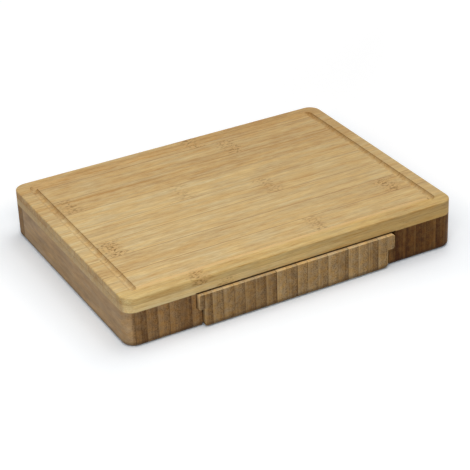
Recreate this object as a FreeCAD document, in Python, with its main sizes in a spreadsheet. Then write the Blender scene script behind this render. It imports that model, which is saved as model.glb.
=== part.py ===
import FreeCAD, Part

import os

import Sketcher

# Cheese board with a tool drawer, glued up from bamboo strips.
# X runs along the long side, Y from the drawer front to the back, Z up from the table.

# Driving sizes in millimetres; a share is a part of one strip's full width
SIZES = {
    # whole board
    "board_width": 250,
    "board_depth": 184,
    "corner_radius": 9,
    "base_height": 25.3,
    "under_layer": 5.7,
    "top_layer": 5,
    "top_arris": 1,
    "bottom_arris": 3,
    # juice groove, cut with a ball-nosed bit
    "groove_side_inset": 11.4,
    "groove_end_inset": 9.8,
    "groove_depth": 2,
    "groove_bit_radius": 2.75,
    "groove_bit_lift": 0.3,
    "groove_inner_corner": 0.4,
    # widths of the top layer's flat planks from the back, scaled together to fill the depth
    "plank_1": 17.3,
    "plank_2": 23,
    "plank_3": 21.6,
    "plank_4": 23.6,
    "plank_5": 23.1,
    "plank_6": 22.3,
    "plank_7": 20.9,
    "plank_8": 20.2,
    "plank_9": 12,
    # strips on edge in the base, each side of the drawer
    "base_strip_count": 6,
    "outer_share": 0.81,
    "back_rail": 16,
    # slot for the drawer; its roof is cut a little into the under layer
    "slot_relief": 0.5,
    "left_rebate": 3.2,
    # drawer, which stands off the board's middle and nearer to the slot's left wall
    "drawer_width": 140.2,
    "drawer_offset": -0.6,
    "drawer_strip_count": 18,
    "drawer_left_share": 0.72,
    "drawer_right_share": 0.92,
    "drawer_proud": 3,
    "left_runner": 3.9,
    "right_runner": 5.4,
    # the rebate under the right runner leaves this much of its strip standing down to the foot
    "right_lap": 1.2,
    "runner_height": 11,
    "runner_clearance": 0.3,
    "left_play": 0.7,
    "right_play": 2.3,
    "top_clearance": 0.75,
    "floor_clearance": 1,
    "back_clearance": 0.5,
    "front_round": 0.7,
    "left_runner_corner": 1.2,
    "right_runner_corner": 2.3,
    "left_foot_corner": 1.6,
    "right_foot_corner": 3,
    # pockets for the tools, each with its divider as wide as a few of the drawer's strips
    "pocket_strips": 4,
    "front_wall": 14,
    "rear_wall": 12.5,
    "divider": 5,
    "pocket_corner": 5,
    "tool_headroom": 2.5,
    "tool_end_gap": 3,
    "blade_side_gap": 2,
    "finger_width": 26,
    "finger_depth": 9,
    "finger_reach": 0.5,
    # tools
    "handle_neck": 13,
    "handle_bulge": 1.6,
    "handle_butt": 13.5,
    "butt_bulge": 3,
    "handle_thickness": 11,
    "handle_round": 3.6,
    "bolster_length": 8,
    "bolster_round": 1,
    "blade_length": 52,
    "blade_thickness": 1.6,
    "blade_neck": 10,
    "blade_neck_length": 5,
    "edge_grind": 0.6,
    "edge_width": 2.4,
    "tang_width": 8,
    "tang_length": 34,
    "glue_gap": 0.1,
    # blade outlines
    "chisel_corner": 2,
    "prong_width": 17,
    "prong_belly": 2,
    "prong_depth": 9,
    "prong_tip": 2.4,
    "fork_width": 17,
    "tine_width": 4.4,
    "tine_length": 30,
    "tine_taper": 9,
    "tine_tip": 1.4,
    "fork_shoulder": 6,
}

doc = FreeCAD.newDocument("cheese_board")
sheet = doc.addObject("Spreadsheet::Sheet", "size")
for row, (alias, number) in enumerate(SIZES.items(), 1):
    sheet.set(f"A{row}", alias)
    sheet.set(f"B{row}", str(number))
    sheet.setAlias(f"B{row}", alias)
doc.recompute()

# Places worked out from the sizes, as expressions on the sheet
side = "size.board_width / 2"
front = "-(size.board_depth - size.drawer_proud) / 2"
back = "(size.board_depth + size.drawer_proud) / 2"
layer_seam = "(size.base_height + size.under_layer)"
board_top = "(size.base_height + size.under_layer + size.top_layer)"
slot_roof = "(size.base_height + size.slot_relief)"
slot_back = f"({back} - size.back_rail)"
drawer_left = "(size.drawer_offset - size.drawer_width / 2)"
drawer_right = "(size.drawer_offset + size.drawer_width / 2)"
runner_left = f"({drawer_left} - size.left_runner)"
runner_right = f"({drawer_right} + size.right_runner)"
slot_left = f"({runner_left} - size.left_play)"
slot_right = f"({runner_right} + size.right_play)"
throat_left = f"({drawer_left} - size.left_play)"
throat_right = f"({drawer_right} + size.right_play)"
drawer_top = f"({slot_roof} - size.top_clearance)"
drawer_front = f"({front} - size.drawer_proud)"
drawer_back = f"({slot_back} - size.back_clearance)"
runner_foot = f"({drawer_top} - size.runner_height)"
ledge_top = f"({runner_foot} - size.runner_clearance)"

# Four tools lie side by side in their pockets; a handle takes what the pocket's length leaves
TOOLS = ("spade", "prong", "chisel", "fork")
pocket_front = f"({drawer_front} + size.front_wall)"
pocket_back = f"({drawer_back} - size.rear_wall)"
pocket_depth = "(size.handle_thickness + size.tool_headroom)"
pocket_floor = f"({drawer_top} - {pocket_depth})"
drawer_strips = "(size.drawer_width - size.right_lap)"
drawer_shares = "(size.drawer_left_share + size.drawer_strip_count - 2 + size.drawer_right_share)"
drawer_strip = f"({drawer_strips} / {drawer_shares})"
pocket_pitch = f"(size.pocket_strips * {drawer_strip})"
pocket_width = f"({pocket_pitch} - size.divider)"
pocket_row = f"({len(TOOLS)} * {pocket_pitch} - size.divider)"
pocket_middles = [
    f"(size.drawer_offset + {2 * i + 1 - len(TOOLS)} * {pocket_pitch} / 2)" for i in range(len(TOOLS))
]
blade_start = "size.bolster_length"
blade_tip = "(size.bolster_length + size.blade_length)"
tool_length = f"({pocket_back} - {pocket_front} - 2 * size.tool_end_gap)"
handle_length = f"({tool_length} - {blade_tip})"
handle_start = f"({pocket_front} + size.tool_end_gap)"
handle_end = f"({handle_start} + {handle_length})"
handle_axis = f"({pocket_floor} + size.handle_thickness / 2)"
widest_blade = f"({pocket_width} - 2 * size.blade_side_gap)"


def value(expression):
    return float(sheet.evalExpression(str(expression)))


def count(alias):
    return round(value(f"size.{alias}"))


# Outlines: straight runs and arcs between corners, drawn counter-clockwise


class Outline:
    def __init__(self, x, y):
        self.corners = [(x, y)]
        self.bends = []

    def line(self, x, y):
        self.corners.append((x, y))
        self.bends.append(None)
        return self

    def arc(self, x, y, radius, inward=False):
        self.corners.append((x, y))
        self.bends.append((radius, inward))
        return self

    def close(self):
        self.bends.append(None)
        return self

    def close_arc(self, radius, inward=False):
        self.bends.append((radius, inward))
        return self


def sign(number):
    return (number > 0) - (number < 0)


def softened(corners):
    """An outline of square corners (x, y, radius); a radius of None leaves one sharp."""
    points = [(value(x), value(y)) for x, y, radius in corners]
    outline = None
    for i, (x, y, radius) in enumerate(corners):
        before = points[i - 1]
        here = points[i]
        after = points[(i + 1) % len(points)]
        if radius is None:
            outline = outline.line(x, y) if outline else Outline(x, y)
            continue
        come = (sign(here[0] - before[0]), sign(here[1] - before[1]))
        leave = (sign(after[0] - here[0]), sign(after[1] - here[1]))
        start = (f"{x} - {come[0]} * {radius}", f"{y} - {come[1]} * {radius}")
        end = (f"{x} + {leave[0]} * {radius}", f"{y} + {leave[1]} * {radius}")
        outline = outline.line(*start) if outline else Outline(*start)
        outline.arc(*end, radius)
    return outline.close()


def rectangle(x_low, x_high, y_low, y_high, radius=None):
    return softened(
        [
            (x_low, y_low, radius),
            (x_high, y_low, radius),
            (x_high, y_high, radius),
            (x_low, y_high, radius),
        ]
    )


def arc_through(start, end, radius, inward):
    """The arc from start to end that bulges to the right of its path, or to the left if inward."""
    chord = end - start
    half = chord.Length / 2
    rise = radius - (radius**2 - half**2) ** 0.5
    outwards = FreeCAD.Vector(chord.y, -chord.x, 0).normalize()
    if inward:
        outwards = -outwards
    middle = (start + end) / 2 + outwards * rise
    return Part.Arc(start, middle, end)


def sketch_on(body, name, plane, lift, outline):
    """Draws an outline on one of the body's own planes, every corner and radius bound to the sheet."""
    sketch = body.newObject("Sketcher::SketchObject", name)
    origin_plane = next(f for f in body.Origin.OriginFeatures if f.Role == plane)
    sketch.AttachmentSupport = [(origin_plane, "")]
    sketch.MapMode = "FlatFace"
    sketch.setExpression("AttachmentOffset.Base.z", str(lift))
    places = [FreeCAD.Vector(value(x), value(y), 0) for x, y in outline.corners]
    starts = []
    for i, bend in enumerate(outline.bends):
        start = places[i]
        end = places[(i + 1) % len(places)]
        if bend is None:
            sketch.addGeometry(Part.LineSegment(start, end))
            starts.append((i, 1))
            continue
        radius, inward = bend
        sketch.addGeometry(arc_through(start, end, value(radius), inward))
        # a sketch arc always runs counter-clockwise, so an inward one starts at its far end
        starts.append((i, 2) if inward else (i, 1))
    ends = [(i, 3 - point) for i, point in starts]
    for i, end in enumerate(ends):
        sketch.addConstraint(Sketcher.Constraint("Coincident", *end, *starts[(i + 1) % len(starts)]))
    for start, place, corner in zip(starts, places, outline.corners):
        for kind, coordinate, expression in zip(("DistanceX", "DistanceY"), place, corner):
            index = sketch.addConstraint(Sketcher.Constraint(kind, -1, 1, *start, coordinate))
            sketch.setExpression(f"Constraints[{index}]", str(expression))
    for i, bend in enumerate(outline.bends):
        if bend is not None:
            index = sketch.addConstraint(Sketcher.Constraint("Radius", i, value(bend[0])))
            sketch.setExpression(f"Constraints[{index}]", str(bend[0]))
    return sketch


# Features: one that takes wood or steel away is checked, because a cut that misses shows no error


def new_body(label):
    body = doc.addObject("PartDesign::Body", label)
    body.Label = label
    return body


def pad(body, name, sketch, length, midplane=False):
    feature = body.newObject("PartDesign::Pad", name)
    feature.Profile = sketch
    feature.setExpression("Length", str(length))
    feature.Midplane = midplane
    doc.recompute()
    return feature


def check_cut(body, before, name):
    doc.recompute()
    if not body.Shape.Volume < before:
        raise ValueError(f"{name} cuts nothing")


def pocket(body, name, sketch, length, reverse=False):
    before = body.Shape.Volume
    feature = body.newObject("PartDesign::Pocket", name)
    feature.Profile = sketch
    feature.setExpression("Length", str(length))
    feature.Reversed = reverse
    check_cut(body, before, name)


def names_of(shape_list, kind, test):
    return [f"{kind}{i}" for i, item in enumerate(shape_list, 1) if test(item)]


def flat_face(shape, axis, place):
    """Names the flat face that lies across an axis (x, y or z) at a place."""

    def lies_there(face):
        box = face.BoundBox
        low = getattr(box, f"{axis.upper()}Min")
        high = getattr(box, f"{axis.upper()}Max")
        return abs(low - value(place)) < 1e-4 and abs(high - value(place)) < 1e-4

    return names_of(shape.Faces, "Face", lies_there)


def fillet(body, name, base, names, radius):
    before = body.Shape.Volume
    feature = body.newObject("PartDesign::Fillet", name)
    feature.Base = (base, names)
    feature.setExpression("Radius", str(radius))
    check_cut(body, before, name)


nodes = []


def box(name, x_low, x_high, y_low, y_high, z_low, z_high):
    stock = doc.addObject("Part::Box", name)
    for size, place, low, high in (
        ("Length", "x", x_low, x_high),
        ("Width", "y", y_low, y_high),
        ("Height", "z", z_low, z_high),
    ):
        stock.setExpression(size, f"({high}) - ({low})")
        stock.setExpression(f"Placement.Base.{place}", str(low))
    return stock


def cut_from_form(label, form, *limits):
    """One glued strip: its stock as a box, kept where the machined form keeps it."""
    strip = doc.addObject("Part::Common", label)
    strip.Label = label
    strip.Base = form
    strip.Tool = box(f"{label}_stock", *limits)
    nodes.append(strip)


def share(number, total, first="1", last="1"):
    """How far seam NUMBER lies across a row of strips whose first and last are ripped narrower."""
    if number == 0:
        return "0"
    if number == total:
        return "1"
    return f"(({first} + {number - 1}) / ({first} + {total - 2} + {last}))"


# Top panel: the machined form of both layers, with its arris and juice groove
top_form = new_body("top_form")
top_pad = pad(
    top_form,
    "TopPanel",
    sketch_on(
        top_form,
        "TopOutline",
        "XY_Plane",
        "size.base_height",
        rectangle(f"-{side}", side, front, back, "size.corner_radius"),
    ),
    "size.under_layer + size.top_layer",
)
fillet(top_form, "TopArris", top_pad, flat_face(top_pad.Shape, "z", board_top), "size.top_arris")
pocket(
    top_form,
    "SlotRelief",
    sketch_on(
        top_form,
        "SlotReliefOutline",
        "XY_Plane",
        "size.base_height",
        rectangle(slot_left, slot_right, drawer_front, slot_back),
    ),
    "size.slot_relief",
    reverse=True,
)

# the bit's round end is drawn across the front run of the groove and closed just above the surface
bit_axis = f"{front} + size.groove_end_inset"
bit_top = f"{board_top} + size.groove_bit_lift"
bit_reach = "(size.groove_bit_radius - size.groove_depth - size.groove_bit_lift)"
bit_half = f"sqrt(size.groove_bit_radius ^ 2 - {bit_reach} ^ 2)"
groove_path = sketch_on(
    top_form,
    "GroovePath",
    "XY_Plane",
    board_top,
    rectangle(
        f"-{side} + size.groove_side_inset",
        f"{side} - size.groove_side_inset",
        f"{front} + size.groove_end_inset",
        f"{back} - size.groove_end_inset",
        f"({bit_half} + size.groove_inner_corner)",
    ),
)
groove_section = sketch_on(
    top_form,
    "GrooveSection",
    "YZ_Plane",
    "0",
    Outline(f"{bit_axis} - {bit_half}", bit_top)
    .arc(bit_axis, f"{board_top} - size.groove_depth", "size.groove_bit_radius")
    .arc(f"{bit_axis} + {bit_half}", bit_top, "size.groove_bit_radius")
    .close(),
)
before_groove = top_form.Shape.Volume
groove = top_form.newObject("PartDesign::SubtractivePipe", "JuiceGroove")
groove.Profile = groove_section
groove.Spine = (groove_path, [f"Edge{i}" for i in range(1, groove_path.GeometryCount + 1)])
check_cut(top_form, before_groove, "JuiceGroove")

# Top layer: flat planks side by side, their grain along X
planks = [alias for alias in SIZES if alias.startswith("plank_")]
all_planks = " + ".join(f"size.{alias}" for alias in planks)
plank_seams = [back]
for alias in planks:
    plank_seams.append(f"({plank_seams[-1]} - size.board_depth * size.{alias} / ({all_planks}))")
for number, (behind, ahead) in enumerate(zip(plank_seams, plank_seams[1:]), 1):
    cut_from_form(f"top_plank_{number}", top_form, f"-{side}", side, ahead, behind, layer_seam, board_top)

# Under layer, glued below the planks and on top of the base
cut_from_form("under_layer", top_form, f"-{side}", side, front, back, "size.base_height", layer_seam)

# Base: the machined form of the outline, rounded underneath and slotted for the drawer
base_form = new_body("base_form")
base_pad = pad(
    base_form,
    "BasePanel",
    sketch_on(
        base_form,
        "BaseOutline",
        "XY_Plane",
        "0",
        rectangle(f"-{side}", side, front, back, "size.corner_radius"),
    ),
    "size.base_height",
)
fillet(base_form, "BottomArris", base_pad, flat_face(base_pad.Shape, "z", "0"), "size.bottom_arris")
slot_section = softened(
    [
        (throat_left, "0", None),
        (throat_right, "0", None),
        (throat_right, ledge_top, None),
        (slot_right, ledge_top, None),
        (slot_right, "size.base_height", None),
        (slot_left, "size.base_height", None),
        (slot_left, ledge_top, None),
        (throat_left, ledge_top, None),
    ]
)
pocket(
    base_form,
    "DrawerSlot",
    sketch_on(base_form, "SlotSection", "XZ_Plane", f"-{slot_back}", slot_section),
    f"{slot_back} - {drawer_front}",
    reverse=True,
)

# Strips on edge each side of the slot, counted from the outside, their grain along Y
base_strip_count = count("base_strip_count")
rebate_back = f"({slot_left} - size.left_rebate)"
for hand, outwards, last_seam, throat in (
    ("left", -1, rebate_back, throat_left),
    ("right", 1, slot_right, throat_right),
):
    shoulder = f"({side} - {outwards} * {last_seam})"
    for number in range(base_strip_count):
        far, near = [
            f"{outwards} * ({side} - {shoulder} * {share(edge, base_strip_count, 'size.outer_share')})"
            for edge in (number, number + 1)
        ]
        low, high = sorted((far, near), key=value)
        label = f"{hand}_base_strip_{number + 1}"
        cut_from_form(label, base_form, low, high, front, slot_back, "0", "size.base_height")
    # the strip next to the slot is the ledge that the drawer's runner slides on
    low, high = sorted((last_seam, throat), key=value)
    cut_from_form(f"{hand}_ledge", base_form, low, high, front, slot_back, "0", "size.base_height")

# The rail across the back, which closes the slot behind the drawer and ends the strips; its grain is along X
cut_from_form("back_rail", base_form, f"-{side}", side, slot_back, back, "0", "size.base_height")

# Drawer: the machined form, T-shaped in section, with a rounded front and tool pockets
drawer_form = new_body("drawer_form")
drawer_section = softened(
    [
        (drawer_left, "size.floor_clearance", "size.left_foot_corner"),
        (drawer_right, "size.floor_clearance", "size.right_foot_corner"),
        (drawer_right, runner_foot, None),
        (runner_right, runner_foot, "size.right_runner_corner"),
        (runner_right, drawer_top, "size.right_runner_corner"),
        (runner_left, drawer_top, "size.left_runner_corner"),
        (runner_left, runner_foot, "size.left_runner_corner"),
        (drawer_left, runner_foot, None),
    ]
)
drawer_length = f"{drawer_back} - {drawer_front}"
drawer_pad = pad(
    drawer_form,
    "DrawerBlock",
    sketch_on(drawer_form, "DrawerSection", "XZ_Plane", f"-{drawer_back}", drawer_section),
    drawer_length,
)
fillet(
    drawer_form,
    "FrontRound",
    drawer_pad,
    flat_face(drawer_pad.Shape, "y", drawer_front),
    "size.front_round",
)
for number, middle in enumerate(pocket_middles, 1):
    pocket(
        drawer_form,
        f"ToolPocket{number}",
        sketch_on(
            drawer_form,
            f"ToolPocketOutline{number}",
            "XY_Plane",
            drawer_top,
            rectangle(
                f"{middle} - {pocket_width} / 2",
                f"{middle} + {pocket_width} / 2",
                pocket_front,
                pocket_back,
                "size.pocket_corner",
            ),
        ),
        pocket_depth,
    )
# a trough across the pockets, where fingers reach round the handles
finger_middle = f"{handle_start} + {handle_length} / 2"
finger_half = f"({pocket_row} / 2 + size.finger_reach)"
pocket(
    drawer_form,
    "FingerTrough",
    sketch_on(
        drawer_form,
        "FingerTroughOutline",
        "XY_Plane",
        drawer_top,
        rectangle(
            f"size.drawer_offset - {finger_half}",
            f"size.drawer_offset + {finger_half}",
            f"{finger_middle} - size.finger_width / 2",
            f"{finger_middle} + size.finger_width / 2",
            "size.pocket_corner",
        ),
    ),
    "size.finger_depth",
)

# Drawer strips on edge from left to right, and the runner strip on each side
drawer_strip_count = count("drawer_strip_count")
drawer_ends = ("size.drawer_left_share", "size.drawer_right_share")
for number in range(drawer_strip_count):
    low, high = [
        f"{drawer_left} + {drawer_strips} * {share(edge, drawer_strip_count, *drawer_ends)}"
        for edge in (number, number + 1)
    ]
    cut_from_form(
        f"drawer_strip_{number + 1:02d}",
        drawer_form,
        low,
        high,
        drawer_front,
        drawer_back,
        "size.floor_clearance",
        drawer_top,
    )
for hand, low, high, foot in (
    ("left", runner_left, drawer_left, runner_foot),
    ("right", f"{drawer_left} + {drawer_strips}", runner_right, "size.floor_clearance"),
):
    cut_from_form(
        f"{hand}_drawer_runner",
        drawer_form,
        low,
        high,
        drawer_front,
        drawer_back,
        foot,
        drawer_top,
    )


# Tools, each drawn with its blade along +Y and its bolster starting at y = 0


def radius_of(chord, bulge):
    return f"((({chord}) ^ 2 / 4 + ({bulge}) ^ 2) / (2 * ({bulge})))"


def tang_slot(body, name, y_start, length):
    """The slot that the blade's tang is glued into, with room for the glue all round."""
    wide = "(size.tang_width / 2 + size.glue_gap)"
    high = "(size.blade_thickness / 2 + size.glue_gap)"
    outline = rectangle(f"-{wide}", wide, f"-{high}", high)
    sketch = sketch_on(body, f"{name}Outline", "XZ_Plane", f"-{y_start}", outline)
    pocket(body, name, sketch, length, reverse=True)


def handle(label):
    body = new_body(label)
    neck = "size.handle_neck / 2"
    butt = "size.handle_butt / 2"
    foot = f"-({handle_length} - size.butt_bulge)"
    side_radius = radius_of(f"{handle_length} - size.butt_bulge", "size.handle_bulge")
    outline = (
        Outline(f"-{butt}", foot)
        .arc("0", f"-{handle_length}", radius_of("size.handle_butt", "size.butt_bulge"))
        .arc(butt, foot, radius_of("size.handle_butt", "size.butt_bulge"))
        .arc(neck, "0", side_radius)
        .line(f"-{neck}", "0")
        .close_arc(side_radius)
    )
    block = pad(
        body,
        "HandleBlock",
        sketch_on(body, "HandleOutline", "XY_Plane", "0", outline),
        "size.handle_thickness",
        midplane=True,
    )
    long_edges = names_of(block.Shape.Edges, "Edge", lambda edge: lies_flat(edge) and is_curved(edge))
    fillet(body, "HandleRound", block, long_edges, "size.handle_round")
    tang_slot(body, "TangSlot", "0", "size.tang_length + size.glue_gap")
    return body


def bolster(label):
    body = new_body(label)
    neck = "size.handle_neck / 2"
    high = "size.handle_thickness / 2"
    block = pad(
        body,
        "BolsterBlock",
        sketch_on(
            body,
            "BolsterSection",
            "XZ_Plane",
            "-size.bolster_length",
            rectangle(f"-{neck}", neck, f"-{high}", high, "size.handle_round"),
        ),
        "size.bolster_length",
    )
    fillet(
        body,
        "BolsterRound",
        block,
        flat_face(block.Shape, "y", "size.bolster_length"),
        "size.bolster_round",
    )
    tang_slot(body, "TangSlot", "size.bolster_length", "size.bolster_length")
    return body


def with_tang(outline):
    """Finishes a blade outline that starts and ends at the blade's neck with the tang."""
    tang = "size.tang_width / 2"
    return (
        outline.line(f"-{tang}", blade_start)
        .line(f"-{tang}", "-size.tang_length")
        .line(tang, "-size.tang_length")
        .line(tang, blade_start)
        .close()
    )


def blade(label, outline, is_cutting=None):
    body = new_body(label)
    plate = pad(
        body,
        "BladePlate",
        sketch_on(body, "BladeOutline", "XY_Plane", "0", outline),
        "size.blade_thickness",
        midplane=True,
    )
    if is_cutting:
        grind(body, plate, is_cutting)
    return body


def grind(body, plate, is_cutting):
    """Grinds the cutting edges from both faces, wide across the blade and shallow into it."""
    before = body.Shape.Volume
    edges = names_of(plate.Shape.Edges, "Edge", lambda edge: lies_flat(edge) and is_cutting(edge))
    feature = body.newObject("PartDesign::Chamfer", "GroundEdge")
    feature.Base = (plate, edges)
    feature.ChamferType = "Two distances"
    feature.FlipDirection = True
    feature.setExpression("Size", "size.edge_width")
    feature.setExpression("Size2", "size.edge_grind")
    check_cut(body, before, "GroundEdge")


def lies_flat(edge):
    return edge.BoundBox.ZLength < 1e-4


def is_curved(edge):
    return isinstance(edge.Curve, Part.Circle)


def is_end(edge):
    return abs(edge.BoundBox.YMin - value(blade_tip)) < 1e-4


neck = "size.blade_neck / 2"
neck_end = f"({blade_start} + size.blade_neck_length)"

# hard-cheese spade: an almond that comes to a point
leaf_chord = f"sqrt(({blade_tip} - {neck_end}) ^ 2 + (size.blade_neck / 2) ^ 2)"
leaf_bulge = f"{widest_blade} / 2 - size.blade_neck / 4"
spade_outline = with_tang(
    Outline(neck, blade_start)
    .line(neck, neck_end)
    .arc("0", blade_tip, radius_of(leaf_chord, leaf_bulge))
    .arc(f"-{neck}", neck_end, radius_of(leaf_chord, leaf_bulge))
    .line(f"-{neck}", blade_start)
)

# chisel: widens to a straight cutting edge
chisel_half = f"{widest_blade} / 2"
chisel_outline = with_tang(
    Outline(neck, blade_start)
    .line(neck, neck_end)
    .line(chisel_half, f"{blade_tip} - size.chisel_corner")
    .line(f"{chisel_half} - size.chisel_corner", blade_tip)
    .line(f"-{chisel_half} + size.chisel_corner", blade_tip)
    .line(f"-{chisel_half}", f"{blade_tip} - size.chisel_corner")
    .line(f"-{neck}", neck_end)
    .line(f"-{neck}", blade_start)
)

# fork-tipped knife: a curved cutting edge on the right, a straight back, two prongs at the tip
prong_half = "size.prong_width / 2"
prong_root = f"({blade_tip} - size.prong_depth)"
prong_chord = f"sqrt(({prong_root} - {neck_end}) ^ 2 + ({prong_half} - {neck}) ^ 2)"
prong_outline = with_tang(
    Outline(neck, blade_start)
    .line(neck, neck_end)
    .arc(prong_half, prong_root, radius_of(prong_chord, "size.prong_belly"))
    .line(f"{prong_half} - size.prong_tip / 2", blade_tip)
    .line(f"{prong_half} - size.prong_tip", blade_tip)
    .line("0", prong_root)
    .line(f"-{prong_half} + size.prong_tip", blade_tip)
    .line(f"-{prong_half} + size.prong_tip / 2", blade_tip)
    .line(f"-{prong_half}", prong_root)
    .line(f"-{neck}", neck_end)
    .line(f"-{neck}", blade_start)
)

# two-tine fork
fork_half = "size.fork_width / 2"
tine_root = f"({blade_tip} - size.tine_length)"
tine_shoulder = f"({tine_root} - size.fork_shoulder)"
tine_point = f"({blade_tip} - size.tine_taper)"
tine_inside = f"({fork_half} - size.tine_width)"
crotch = f"({tine_root} + {tine_inside})"
fork_outline = with_tang(
    Outline(neck, blade_start)
    .line(neck, neck_end)
    .line(fork_half, tine_shoulder)
    .line(fork_half, tine_point)
    .line(f"{fork_half} - size.tine_width / 2 + size.tine_tip / 2", blade_tip)
    .line(f"{fork_half} - size.tine_width / 2 - size.tine_tip / 2", blade_tip)
    .line(tine_inside, tine_point)
    .line(tine_inside, crotch)
    .arc("0", tine_root, tine_inside, inward=True)
    .arc(f"-{tine_inside}", crotch, tine_inside, inward=True)
    .line(f"-{tine_inside}", tine_point)
    .line(f"-{fork_half} + size.tine_width / 2 + size.tine_tip / 2", blade_tip)
    .line(f"-{fork_half} + size.tine_width / 2 - size.tine_tip / 2", blade_tip)
    .line(f"-{fork_half}", tine_point)
    .line(f"-{fork_half}", tine_shoulder)
    .line(f"-{neck}", neck_end)
    .line(f"-{neck}", blade_start)
)

blades = (
    (spade_outline, is_curved),
    (prong_outline, is_curved),
    (chisel_outline, is_end),
    (fork_outline, None),
)
for tool, (outline, is_cutting), middle in zip(TOOLS, blades, pocket_middles):
    steel = blade(f"{tool}_blade", outline, is_cutting)
    for piece in (steel, bolster(f"{tool}_bolster"), handle(f"{tool}_handle")):
        piece.setExpression("Placement.Base.x", middle)
        piece.setExpression("Placement.Base.y", handle_end)
        piece.setExpression("Placement.Base.z", handle_axis)
        nodes.append(piece)

doc.recompute()
for item in doc.Objects:
    if "Invalid" in item.State or "Error" in item.State:
        raise ValueError(f"{item.Label} did not build: {item.State}")
os.makedirs("parts", exist_ok=True)
for node in nodes:
    if node.Shape.isNull() or not node.Shape.isValid() or len(node.Shape.Solids) != 1:
        raise ValueError(f"{node.Label} is not one valid solid")
    node.Shape.exportStep(f"parts/{node.Label}.step")
print(len(nodes), "pieces written")
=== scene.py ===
"""Cheese board with a drawer of small cheese tools: the finish of every piece, and the studio round it."""
import math
import random

import bpy
from mathutils import Matrix, Vector


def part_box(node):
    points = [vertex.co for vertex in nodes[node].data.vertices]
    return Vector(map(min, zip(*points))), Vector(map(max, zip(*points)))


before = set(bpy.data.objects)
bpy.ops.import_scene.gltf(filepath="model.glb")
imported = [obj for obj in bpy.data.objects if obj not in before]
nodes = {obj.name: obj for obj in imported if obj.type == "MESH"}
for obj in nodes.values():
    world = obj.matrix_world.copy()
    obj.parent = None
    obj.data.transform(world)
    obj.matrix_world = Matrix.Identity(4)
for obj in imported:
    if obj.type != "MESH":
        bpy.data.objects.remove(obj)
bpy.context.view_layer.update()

# Top board, upper layer
# Nine flat bamboo strips glued edge to edge, the grain along the board, each with one knuckle where
# the cane had a joint. Planed, grooved with a round cutter, sanded and oiled to a low sheen.


class Amount:
    """A number or colour that changes over a surface; arithmetic on it adds the maths nodes."""

    def __init__(self, finish, socket):
        self.finish = finish
        self.socket = socket

    def maths(self, operation, first, second=0.0):
        return self.finish.node("ShaderNodeMath", {"operation": operation}, {0: first, 1: second})

    def __add__(self, other):
        return self.maths("ADD", self, other)

    __radd__ = __add__

    def __sub__(self, other):
        return self.maths("SUBTRACT", self, other)

    def __rsub__(self, other):
        return self.maths("SUBTRACT", other, self)

    def __mul__(self, other):
        return self.maths("MULTIPLY", self, other)

    __rmul__ = __mul__

    def __truediv__(self, other):
        return self.maths("DIVIDE", self, other)

    def __abs__(self):
        return self.maths("ABSOLUTE", self)

    def most(self, other):
        return self.maths("MAXIMUM", self, other)


class Finish:
    """The nodes of a material, or of the room's own light, as they are made and joined."""

    def __init__(self, tree):
        self.tree = tree

    def node(self, kind, settings=None, sockets=None, output=0):
        """Adds a node: its settings first, then the values or links of its sockets."""
        made = self.tree.nodes.new(kind)
        for name, value in (settings or {}).items():
            setattr(made, name, value)
        for name, value in (sockets or {}).items():
            self.feed(made.inputs[name], value)
        return Amount(self, made.outputs[output])

    def feed(self, socket, value):
        if isinstance(value, Amount):
            self.tree.links.new(value.socket, socket)
        else:
            socket.default_value = value

    def parts(self, vector):
        """A vector's shares along x, y and z."""
        shares = [self.node("ShaderNodeSeparateXYZ", sockets={0: vector}, output=i) for i in range(3)]
        return dict(zip("xyz", shares))

    def place(self):
        """Where a point of the surface lies on the board, in millimetres along x, y and z."""
        spot = self.node("ShaderNodeTexCoord", output="Object")
        mm = self.node("ShaderNodeVectorMath", {"operation": "SCALE"}, {0: spot, "Scale": 1000.0})
        return self.parts(mm)

    def facing(self):
        """Which way the surface faces, as its shares along x, y and z."""
        return self.parts(self.node("ShaderNodeTexCoord", output="Normal"))

    def fade(self, value, nothing, full):
        """0 where value is at nothing, 1 where it is at full, and smooth between them."""
        span = {"Value": value, "From Min": nothing, "From Max": full}
        return self.node("ShaderNodeMapRange", {"interpolation_type": "SMOOTHSTEP"}, span)

    def spread(self, point, sizes):
        """A point with each of its three directions measured in a pattern's own size there."""
        parts = {i: part / size for i, (part, size) in enumerate(zip(point, sizes))}
        return self.node("ShaderNodeCombineXYZ", sockets=parts)

    def noise(self, point, sizes, detail=2.0, roughness=0.5):
        vector = self.spread(point, sizes)
        sockets = {"Vector": vector, "Scale": 1.0, "Detail": detail, "Roughness": roughness}
        return self.node("ShaderNodeTexNoise", sockets=sockets)

    def blend(self, factor, first, second, how="MIX"):
        settings = {"data_type": "RGBA", "blend_type": how, "clamp_factor": True}
        return self.node("ShaderNodeMix", settings, {0: factor, 6: first, 7: second}, output=2)


def tint(red, green, blue):
    """A colour named by its 0-255 screen values, as the linear one that shaders take."""
    parts = [value / 255 for value in (red, green, blue)]
    return [v / 12.92 if v <= 0.04045 else ((v + 0.055) / 1.055) ** 2.4 for v in parts] + [1.0]


def dress(name, material):
    node = nodes[name]
    node.material_slots[0].material = material


def new_material(name, **sockets):
    """A material with one shader, and its even qualities set on the shader's own sockets."""
    material = bpy.data.materials.new(name)
    material.use_nodes = True
    shader = material.node_tree.nodes["Principled BSDF"]
    for socket, value in sockets.items():
        shader.inputs[socket.replace("_", " ")].default_value = value
    return material, Finish(material.node_tree), shader


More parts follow.
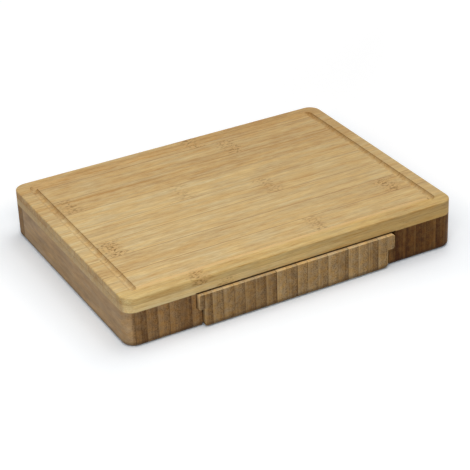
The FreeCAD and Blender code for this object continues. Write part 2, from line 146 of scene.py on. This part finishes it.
# each pattern's size in mm: along the grain, over the strip's broad face, and through the strip
BANDS = (150, 3.2, 3.2)
VEINS = (75, 1.1, 1.1)
BUNDLES = (30, 1.1, 1.1)
CLOUDS = (28, 9, 9)
HUES = (26, 3.6, 3.6)
SWERVES = (9, 3.2, 3.2)
FIBRES = (8, 0.65, 0.65)
SCARS = (2.4, 1.1, 1.1)
SAW_MARKS = (260, 36, 0.7)  # the cane's layers, which the saw opens where it cuts across the grain

COOL = (0.93, 1.0, 1.16, 1.0)  # how far the cane's colour wanders either way
WARM = (1.07, 1.0, 0.84, 1.0)
LOG = 400  # mm each way of the patterns that a strip may be cut from
KNUCKLE_REACH = 11  # mm each side of a knuckle where the grain is upset
KNUCKLE_EDGE = 18  # mm over which the end of that stretch wanders
KNUCKLE_SWERVE = 6  # mm that the grain swerves there
KNUCKLE_FLUSH, KNUCKLE_SCARS = 0.6, 0.85  # how much its stain and its scars show
GLUE_LINE = 0.42  # mm each side of a joint that the glue has darkened
GLUE_CORE = 0.06  # mm each side where it is darkest
OILED = 0.52  # roughness of the oiled cane
FIBRE_RELIEF = 0.00006  # m from the fibres' tops down to the hollows between them

(LEFT_END, FRONT, _), (RIGHT_END, BACK, _) = (corner * 1000 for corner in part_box("under_layer"))
draws = random.Random(11)


def end_grain(wood, axis):
    """1 where a face cuts straight across the grain, 0 where it lies along it."""
    return wood.fade(abs(wood.face[axis]), 0.8, 0.98)


def density(wood, name, axis, skin):
    """How near a point is to the cane's hard skin, from 0 at the other side of the strip to 1."""
    inner, outer = (corner["xyz".index(axis)] * 1000 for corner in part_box(name))
    either = draws.choice((1, -1))
    if (skin or either) < 0:
        inner, outer = outer, inner
    return (wood.spot[axis] - inner) / (outer - inner)


def knuckle_stretch(wood, along, upset, knuckles):
    """How upset the grain is by the knuckles near a point."""
    knot = 0.0
    for where, strength in knuckles:
        off = abs(along - where + upset * KNUCKLE_EDGE)
        knot = knot + wood.fade(off, KNUCKLE_REACH, 1.0) * strength
    return knot


def glue_lines(wood, joints):
    """How dark the nearest joint shows at a point."""
    glue = 0.0
    for axis, where, strength in joints:
        line = wood.fade(abs(wood.spot[axis] - where), GLUE_LINE, GLUE_CORE)
        glue = (line * strength).most(glue)
    return glue


def bamboo(name, order, look, tone, knuckles=(), joints=(), highlight=None, overlays=()):
    """A strip of cane. Order names the directions along its grain, over its broad face and through it.
    Knuckles are (place along the grain, strength), and joints (direction, place, strength).
    Highlight gives how much paler a painted highlight makes a place, and each of overlays lays painted
    shade or highlight over the colour in turn."""
    material, wood, shader = new_material("bamboo_" + name, Specular_IOR_Level=look["gloss"])
    wood.spot, wood.face = wood.place(), wood.facing()
    cane = [wood.spot[axis] + draws.uniform(-LOG, LOG) for axis in order]
    end = end_grain(wood, order[0])
    dense = density(wood, name, order[2], look["skin"])

    upset = wood.noise(cane, SWERVES, detail=3.0) - 0.5
    knot = knuckle_stretch(wood, wood.spot[order[0]], upset, knuckles)
    if knuckles:
        cane[1] = cane[1] + upset * knot * KNUCKLE_SWERVE

    cells = {"Vector": wood.spread(cane, BUNDLES), "Scale": 1.0, "Randomness": 0.8}
    core = wood.node("ShaderNodeTexVoronoi", sockets=cells)
    bundle = wood.fade(core + (0.5 - dense) * 0.3, 0.48, 0.22)
    fibre = wood.noise(cane, FIBRES, detail=3.0, roughness=0.65)
    vein = wood.fade(wood.noise(cane, VEINS), 0.58, 0.72)
    band = wood.noise(cane, BANDS)
    cloud = wood.noise(cane, CLOUDS, detail=1.0)
    sawn = wood.noise(cane, SAW_MARKS, detail=3.0)
    hue = wood.fade(wood.noise(cane, HUES, detail=3.0), 0.32, 0.68)

    shade = tone + (band - 0.5) * look["band"] + (fibre - 0.5) * look["fibre"]
    shade = shade + (cloud - 0.5) * look["cloud"] - vein * look["vein"] + upset * look["mottle"]
    shade = shade + end * ((sawn - 0.5) * look["sawn"] + (0.5 - dense) * look["dense"])
    # a painted highlight, where one is given
    if highlight:
        shade = shade + highlight(wood)

    colour = wood.blend(shade, look["deep"], look["pale"])
    colour = wood.blend(bundle * (0.12 + end * look["dots"]), colour, look["bundle"])
    colour = wood.blend(look["wander"], colour, wood.blend(hue, COOL, WARM), how="MULTIPLY")
    colour = wood.blend(end, colour, look["end"], how="MULTIPLY")
    # painted fall-off of the light: the colour grows darker and warmer towards the right end
    painted_falloff = wood.fade(wood.spot["x"], LEFT_END, RIGHT_END)
    colour = wood.blend(painted_falloff, colour, look["aged"], how="MULTIPLY")
    if knuckles:
        scar = wood.fade(wood.noise(cane, SCARS, detail=1.0), 0.46, 0.66)
        colour = wood.blend(knot * KNUCKLE_FLUSH, colour, look["flush"])
        colour = wood.blend(knot * scar * KNUCKLE_SCARS, colour, look["knuckle"])
    # painted shade and highlights laid over the colour in turn
    for overlay in overlays:
        colour = overlay(wood, colour)
    glue = glue_lines(wood, joints)
    if joints:
        colour = wood.blend(glue, colour, look["glue"])

    wood.feed(shader.inputs["Base Color"], colour)
    wood.feed(shader.inputs["Roughness"], OILED + (fibre - 0.5) * 0.3 + end * 0.12)
    height = fibre * 0.6 + bundle * 0.4 - glue * 0.8
    relief = {"Strength": 0.5, "Distance": FIBRE_RELIEF, "Height": height}
    wood.feed(shader.inputs["Normal"], wood.node("ShaderNodeBump", sockets=relief))
    return material


honey = {
    "deep": tint(177, 135, 76),  # the cane's darkest and palest fibres
    "pale": tint(222, 198, 145),
    "bundle": tint(168, 126, 70),
    "end": tint(235, 231, 234),  # what end grain makes of the colour, and the painted fall-off of the light that darkens and warms it towards the right end
    "aged": tint(243, 239, 231),
    "flush": tint(198, 158, 100),  # a knuckle's stain and its scars
    "knuckle": tint(112, 80, 22),
    "glue": tint(145, 103, 55),
    "gloss": 0.2,
    "band": 0.85,  # how strongly each pattern of the cane shows
    "fibre": 1.6,
    "cloud": 0.5,
    "vein": 0.3,
    "mottle": 0.15,
    "wander": 0.55,
    "sawn": 0.3,
    "dense": 0.2,
    "dots": 0.12,
    "skin": 0,  # which side of the strip the skin was on: 1 high, -1 low, 0 either
}
amber = {**honey, "deep": tint(177, 135, 71), "pale": tint(222, 198, 137)}
PLANK_TONES = [0.31, 0.41, 0.38, 0.61, 0.59, 0.63, 0.49, 0.63, 0.52]
KNUCKLES = [(14, 0.85), (36, 0.85), (-103.6, 0.75), (-28, 0.36), (29, 0.52)]
KNUCKLES += [(-103, 1.0), (98.6, 0.85), (28, 0.58), (-71, 0.85)]
PLANK_SEAMS = [0.85, 0.55, 0.5, 0.45, 0.65, 0.85, 0.85, 0.05]  # how dark each joint shows, from the back
WALLS_HIGHLIGHT = [0.38, 0, 0, 0, 0, 0, 0, 0.75, 0.75]  # how pale the painted highlight makes each plank's groove walls
ACROSS_WALLS_DARKER = 0.24  # how much darker the groove's walls that cross the grain are made
WALL_HIGHLIGHT = tint(246, 214, 156)
GROOVE_ENDS = (119.5, 118.5)  # mm from the middle: where the groove's own colours stop, and are whole
GROOVE_SIDES = (88, 87.4)
FRONT_FALLOFF_TINT = tint(240, 233, 226)
FRONT_FALLOFF_FROM = -60  # mm along the front edge, whose painted shade darkens from here to its right end


def groove_walls(pale):
    """A painted highlight on the juice groove's long walls, and the walls across the grain darkened."""

    def overlay(wood, colour):
        groove = wood.fade(abs(wood.spot["y"]), *GROOVE_SIDES)
        groove = wood.fade(abs(wood.spot["x"]), *GROOVE_ENDS) * groove
        across = wood.fade(abs(wood.face["x"]), 0.1, 0.6) * groove
        along = wood.fade(abs(wood.face["z"]), 0.97, 0.5) * groove - across
        colour = wood.blend(across * ACROSS_WALLS_DARKER, colour, honey["glue"])
        return wood.blend(along * pale, colour, WALL_HIGHLIGHT)

    return overlay


def painted_front_falloff(wood, colour):
    """Painted shade: the front edge darkens towards its right end, where the light falls off."""
    front_falloff = wood.fade(abs(wood.face["z"]), 0.9, 0.3) * wood.fade(wood.spot["x"], FRONT_FALLOFF_FROM, RIGHT_END)
    return wood.blend(front_falloff, colour, FRONT_FALLOFF_TINT, how="MULTIPLY")


def edges_of(name, axis, low, high):
    """The joints at a strip's low and high side along an axis, in mm, with how dark each one shows."""
    index = "xyz".index(axis)
    sides = [corner[index] * 1000 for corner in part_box(name)]
    return [(axis, side, strength) for side, strength in zip(sides, (low, high)) if strength]


for number, (tone, knuckle, pale) in enumerate(zip(PLANK_TONES, KNUCKLES, WALLS_HIGHLIGHT), start=1):
    plank = f"top_plank_{number}"
    behind, ahead = ([0] + PLANK_SEAMS + [0])[number - 1 : number + 1]
    joints = edges_of(plank, "y", ahead, behind)
    look, overlays = honey, [groove_walls(pale)]
    if number == len(PLANK_TONES):
        look, overlays = amber, [painted_front_falloff, groove_walls(pale)]
    dress(plank, bamboo(plank, "xyz", look, tone, [knuckle], joints, overlays=overlays))

# Top board, lower layer
# One sheet of the same cane under the planks, paler, seen only at its edges.
# It is glued to the planks above and to the base below.

straw = {**honey, "deep": tint(196, 161, 98), "pale": tint(233, 211, 157), "band": 0.6}
straw.update(end=tint(224, 219, 226), aged=tint(231, 219, 194))
LOWER_TONE = 0.5
LOWER_KNUCKLES = [(-53, 0.45), (84, 0.25)]
LAYER_SEAM = 0.5

layer_joints = edges_of("under_layer", "z", LAYER_SEAM, LAYER_SEAM)
under = bamboo("under_layer", "xyz", straw, LOWER_TONE, LOWER_KNUCKLES, layer_joints)
dress("under_layer", under)

# Base
# Steamed, browner bamboo strips stood on edge and glued side by side, the grain from front to back, so
# that the front shows their end grain. Two ledges, and a rail across the back, make the drawer's slot.

steamed = {
    "deep": tint(88, 56, 28),
    "pale": tint(208, 174, 128),
    "bundle": tint(70, 44, 22),
    "end": tint(210, 198, 179),
    "aged": tint(249, 232, 188),
    "flush": tint(150, 108, 66),
    "knuckle": tint(84, 54, 30),
    "glue": tint(52, 32, 16),
    "gloss": 0.12,
    "band": 0.4,
    "fibre": 0.55,
    "cloud": 0.35,
    "vein": 0.08,
    "mottle": 0.1,
    "wander": 1.0,
    "sawn": 0.75,
    "dense": 0.22,
    "dots": 0.28,
    "skin": 1,
}
outside_look = {
    "left": {**steamed, "band": 0.16, "fibre": 0.6, "mottle": 0.45, "wander": 0.55},
    "right": {**steamed, "band": 0.3, "fibre": 0.5, "cloud": 0.3, "wander": 0.55},
}
STRIP_TONES = {"left": [0.56, 0.41, 0.59, 0.73, 0.64, 0.4], "right": [0.21, 0.19, 0.3, 0.14, 0.17, 0.16]}
LEDGE_TONES = {"left": 0.64, "right": 0.3}
STRIP_SEAMS = {  # from the outside to the ledge
    "left": [0, 0.45, 0.25, 0.2, 0.5, 0.05, 0.1],
    "right": [0, 0.1, 0.1, 0.1, 0.1, 0.1, 0.2],
}
STRIP_KNUCKLE = 0.4
STRIP_KNUCKLE_RANGE = 70  # mm each way of the middle
RAIL_TONE = 0.5
RAIL_KNUCKLE = (-35, 0.4)
RAIL_SEAM = 0.9  # where the strips end at the back rail
FOOT_SHADE = tint(38, 26, 16)
FOOT_SHADE_HEIGHT = (4.4, 2.4)  # mm above the table, from none of the painted shade to its darkest
FOOT_SHADE_SHARE = 0.45


def painted_foot_shade(wood, colour):
    """Painted shade along the lower edge, darkest next to the table."""
    return wood.blend(wood.fade(wood.spot["z"], *FOOT_SHADE_HEIGHT) * FOOT_SHADE_SHARE, colour, FOOT_SHADE)


def base_bamboo(name, order, look, tone, knuckles, joints):
    dress(name, bamboo(name, order, look, tone, knuckles, joints, overlays=[painted_foot_shade]))


for side, inwards in (("left", 1), ("right", -1)):
    seams = STRIP_SEAMS[side]
    for number, tone in enumerate(STRIP_TONES[side], start=1):
        strip = f"{side}_base_strip_{number}"
        joints = edges_of(strip, "x", *seams[number - 1 : number + 1][::inwards])
        joints += edges_of(strip, "y", 0, RAIL_SEAM)
        knuckles, look = [], outside_look[side]
        if number > 1:
            knuckles = [(draws.uniform(-STRIP_KNUCKLE_RANGE, STRIP_KNUCKLE_RANGE), STRIP_KNUCKLE)]
            look = steamed
        base_bamboo(strip, "yzx", {**look, "skin": inwards}, tone, knuckles, joints)
    ledge = f"{side}_ledge"
    joints = edges_of(ledge, "x", *(seams[-1], 0)[::inwards])
    base_bamboo(ledge, "yzx", steamed, LEDGE_TONES[side], [], joints)
rail_joints = edges_of("back_rail", "y", RAIL_SEAM, 0)
base_bamboo("back_rail", "xzy", steamed, RAIL_TONE, [RAIL_KNUCKLE], rail_joints)

# Drawer
# Eighteen strips of lighter steamed bamboo glued on edge and milled out as one tray, with a runner
# glued along each side. Its front stands proud of the base, its upper edge rounded over as a pull.

caramel = {**steamed, "deep": tint(112, 79, 42), "pale": tint(220, 188, 137), "glue": tint(64, 40, 18)}
caramel.update(end=tint(225, 219, 210), aged=tint(255, 255, 255))
DRAWER_TONES = [0.37, 0.48, 0.52, 0.44, 0.4, 0.36, 0.4, 0.71, 0.46]
DRAWER_TONES += [0.67, 0.65, 0.57, 0.74, 0.46, 0.73, 0.73, 0.43, 0.6]
RUNNER_TONES = {"left": 0.34, "right": 0.66}
DRAWER_SEAMS = [0.3, 0.15, 0.3, 0.35, 0.3, 0.2, 0.4, 0.85, 0.2]  # from the left runner to the right one
DRAWER_SEAMS += [0.65, 0.4, 0.3, 0.4, 0.15, 0.6, 0.4, 0.4, 0.6, 0.3]
RIM_HIGHLIGHT = 0.3  # how much paler the painted highlight makes the front's upper edge
SLOT_SHADE_DEPTH = 0.9  # how near the darkest painted shade on the drawer's top comes to the glue's brown
# places along y, in mm, of the painted highlight and the painted shade: where nothing of each shows, and
# where all of it does
RIM_HIGHLIGHT_SPAN = (FRONT - 0.3, FRONT - 0.9)
SLOT_SHADE_SOFT = (FRONT + 24.5, FRONT + 0.5)
SLOT_SHADE_CORE = (FRONT + 1.9, FRONT + 0.9)
BEHIND_RIM = (FRONT - 0.9, FRONT - 0.4)


def painted_rim_highlight(wood):
    """A painted highlight on the upper edge of the front, which is the drawer's pull."""
    return (1 - end_grain(wood, "y")) * wood.fade(wood.spot["y"], *RIM_HIGHLIGHT_SPAN) * RIM_HIGHLIGHT


def painted_slot_shade(wood, colour):
    """Painted shade on the drawer's top, where the board above shades it: darkest just behind its front.
    """
    y = wood.spot["y"]
    slot_shade = wood.fade(y, *SLOT_SHADE_SOFT) * 0.5 + wood.fade(y, *SLOT_SHADE_CORE) * 0.5
    up = wood.fade(wood.face["z"], 0.6, 0.95)
    return wood.blend(slot_shade * wood.fade(y, *BEHIND_RIM) * up * SLOT_SHADE_DEPTH, colour, caramel["glue"])


def drawer_bamboo(name, tone, left_seam, right_seam):
    joints = edges_of(name, "x", left_seam, right_seam)
    overlays = [painted_foot_shade, painted_slot_shade]
    dress(name, bamboo(name, "yzx", caramel, tone, [], joints, painted_rim_highlight, overlays))


for number, tone in enumerate(DRAWER_TONES, start=1):
    drawer_bamboo(f"drawer_strip_{number:02}", tone, *DRAWER_SEAMS[number - 1 : number + 1])
drawer_bamboo("left_drawer_runner", RUNNER_TONES["left"], 0, DRAWER_SEAMS[0])
drawer_bamboo("right_drawer_runner", RUNNER_TONES["right"], DRAWER_SEAMS[-1], 0)

# Cheese tools
# Four small tools lie in the drawer's pockets. Each is a ground stainless blade whose tang runs into
# a turned bolster and a shaped bamboo handle.

TOOLS = ("spade", "prong", "chisel", "fork")
HANDLE_TONE = 0.55
BOLSTER_LINES = (20, 0.15, 20)  # mm along x, y and z between the belt's lines
BLADE_LINES = (20, 0.12, 20)
SMEARS = (9, 14, 9)
LINE_DEPTH = 0.00002  # m
DULL, BRIGHT = tint(118, 119, 122), tint(148, 148, 149)


def steel(name, roughness, scratch, line_sizes):
    """Stainless steel with the fine lines of its last grinding belt, which run across the piece."""
    material, metal, shader = new_material("steel_" + name, Metallic=1.0)
    spot = metal.place().values()
    lines = metal.noise(spot, line_sizes, detail=4.0, roughness=0.7)
    smear = metal.noise(spot, SMEARS)
    metal.feed(shader.inputs["Base Color"], metal.blend(smear, DULL, BRIGHT))
    metal.feed(shader.inputs["Roughness"], roughness + (lines - 0.5) * 0.25 + (smear - 0.5) * 0.1)
    relief = {"Strength": scratch, "Distance": LINE_DEPTH, "Height": lines}
    metal.feed(shader.inputs["Normal"], metal.node("ShaderNodeBump", sockets=relief))
    return material


for tool in TOOLS:
    handle, bolster, blade = (f"{tool}_{part}" for part in ("handle", "bolster", "blade"))
    dress(handle, bamboo(handle, "yzx", honey, HANDLE_TONE))
    turned = steel(bolster, roughness=0.24, scratch=0.3, line_sizes=BOLSTER_LINES)
    dress(bolster, turned)
    ground = steel(blade, roughness=0.3, scratch=0.35, line_sizes=BLADE_LINES)
    dress(blade, ground)

# Studio
# A white floor under soft light: a lamp overhead and one high on the right, weaker ones low at the front
# and the left, and an even glow from the room. The camera stands in front, to the left, a metre away.

ROOM_GLOW = 0.2
WHITE = tint(255, 255, 255)
BLACK = tint(0, 0, 0)
PAPER = tint(225, 225, 225)
COOL_SHADOW = tint(161, 216, 255)
FLOOR_SIZE = 8.0
FLOOR_DROP = 0.0001  # m under the board
SHADOW = (15, 60)  # mm round the board, from the cool tint painted into its shadow to plain white
FAR = (60, 400)  # mm round the board, over which the floor brightens to the white of the room
NEAR_LIFT, CLEAR_LIFT, FAR_LIFT = 0.07, 0.08, 0.13  # how much brighter, adding up away from the board


def seen_by(finish):
    """1 for the camera, for mirrors and for glass, 0 for the light that lands on things."""
    ways = ("Is Camera Ray", "Is Glossy Ray", "Is Transmission Ray")
    direct, glossy, through = (finish.node("ShaderNodeLightPath", output=way) for way in ways)
    return direct.most(glossy).most(through)


world = bpy.data.worlds.new("studio")
bpy.context.scene.world = world
world.use_nodes = True
room = Finish(world.node_tree)
glow = ROOM_GLOW + seen_by(room) * (1 - ROOM_GLOW)
room.feed(world.node_tree.nodes["Background"].inputs["Color"], WHITE)
room.feed(world.node_tree.nodes["Background"].inputs["Strength"], glow)

bpy.ops.mesh.primitive_plane_add(size=FLOOR_SIZE, location=(0, 0, -FLOOR_DROP))
floor = bpy.context.object
floor.name = "floor"
matt = {"Roughness": 1.0, "Specular_IOR_Level": 0.0, "Emission_Strength": 1.0}
floor_material, paper, floor_shader = new_material("white_floor", **matt)
# The floor glows for the camera alone. This painted light is weakest at the board and grows away from it,
# and a cool tint is painted into the shadow near the board.
spot = paper.place()
outside = (abs(spot["x"]) - RIGHT_END).most(abs(spot["y"]) - (BACK - FRONT) / 2)
clear = paper.fade(outside, *SHADOW)
seen = seen_by(paper)
lift = NEAR_LIFT + clear * CLEAR_LIFT + paper.fade(outside, *FAR) * FAR_LIFT
shine = paper.blend(clear, COOL_SHADOW, WHITE)
paper.feed(floor_shader.inputs["Base Color"], paper.blend(seen, PAPER, WHITE))
paper.feed(floor_shader.inputs["Emission Color"], paper.blend(seen * lift, BLACK, shine))
floor.data.materials.append(floor_material)


def lamp(name, place, size, power):
    """A square soft lamp that looks at the middle of the board."""
    light = bpy.data.lights.new(name, "AREA")
    light.size = size
    light.energy = power
    stand = bpy.data.objects.new(name, light)
    stand.location = place
    stand.rotation_euler = Vector(place).to_track_quat("Z", "Y").to_euler()
    bpy.context.scene.collection.objects.link(stand)


lamp("overhead_lamp", (0, 0, 1.6), 1.0, 5.7)
lamp("right_lamp", (0.6, 0.3, 1.3), 1.2, 7.3)
lamp("front_lamp", (-0.35, -0.6, 0.7), 0.5, 3.4)
lamp("left_lamp", (-0.7, -0.1, 0.5), 0.4, 0.55)

AIM = Vector((0.00296, 0.00092, 0.00156))  # the point the camera looks at, just right of the middle
DISTANCE = 1.1292
AZIMUTH, ELEVATION, ROLL = -27.89, 29.19, -2.336  # degrees, worked out from the board's edges
LENS, SENSOR = 122.48, 36.0  # mm

turn = Matrix.Rotation(math.radians(AZIMUTH), 4, "Z")
turn = turn @ Matrix.Rotation(math.radians(90 - ELEVATION), 4, "X")
turn = turn @ Matrix.Rotation(math.radians(ROLL), 4, "Z")
camera = bpy.data.objects.new("camera", bpy.data.cameras.new("camera"))
camera.data.lens = LENS
camera.data.sensor_width = SENSOR
camera.data.clip_start = 0.05
camera.matrix_world = Matrix.Translation(AIM + turn.to_3x3() @ Vector((0, 0, DISTANCE))) @ turn
bpy.context.scene.collection.objects.link(camera)
bpy.context.scene.camera = camera
bpy.context.scene.view_settings.view_transform = "Standard"
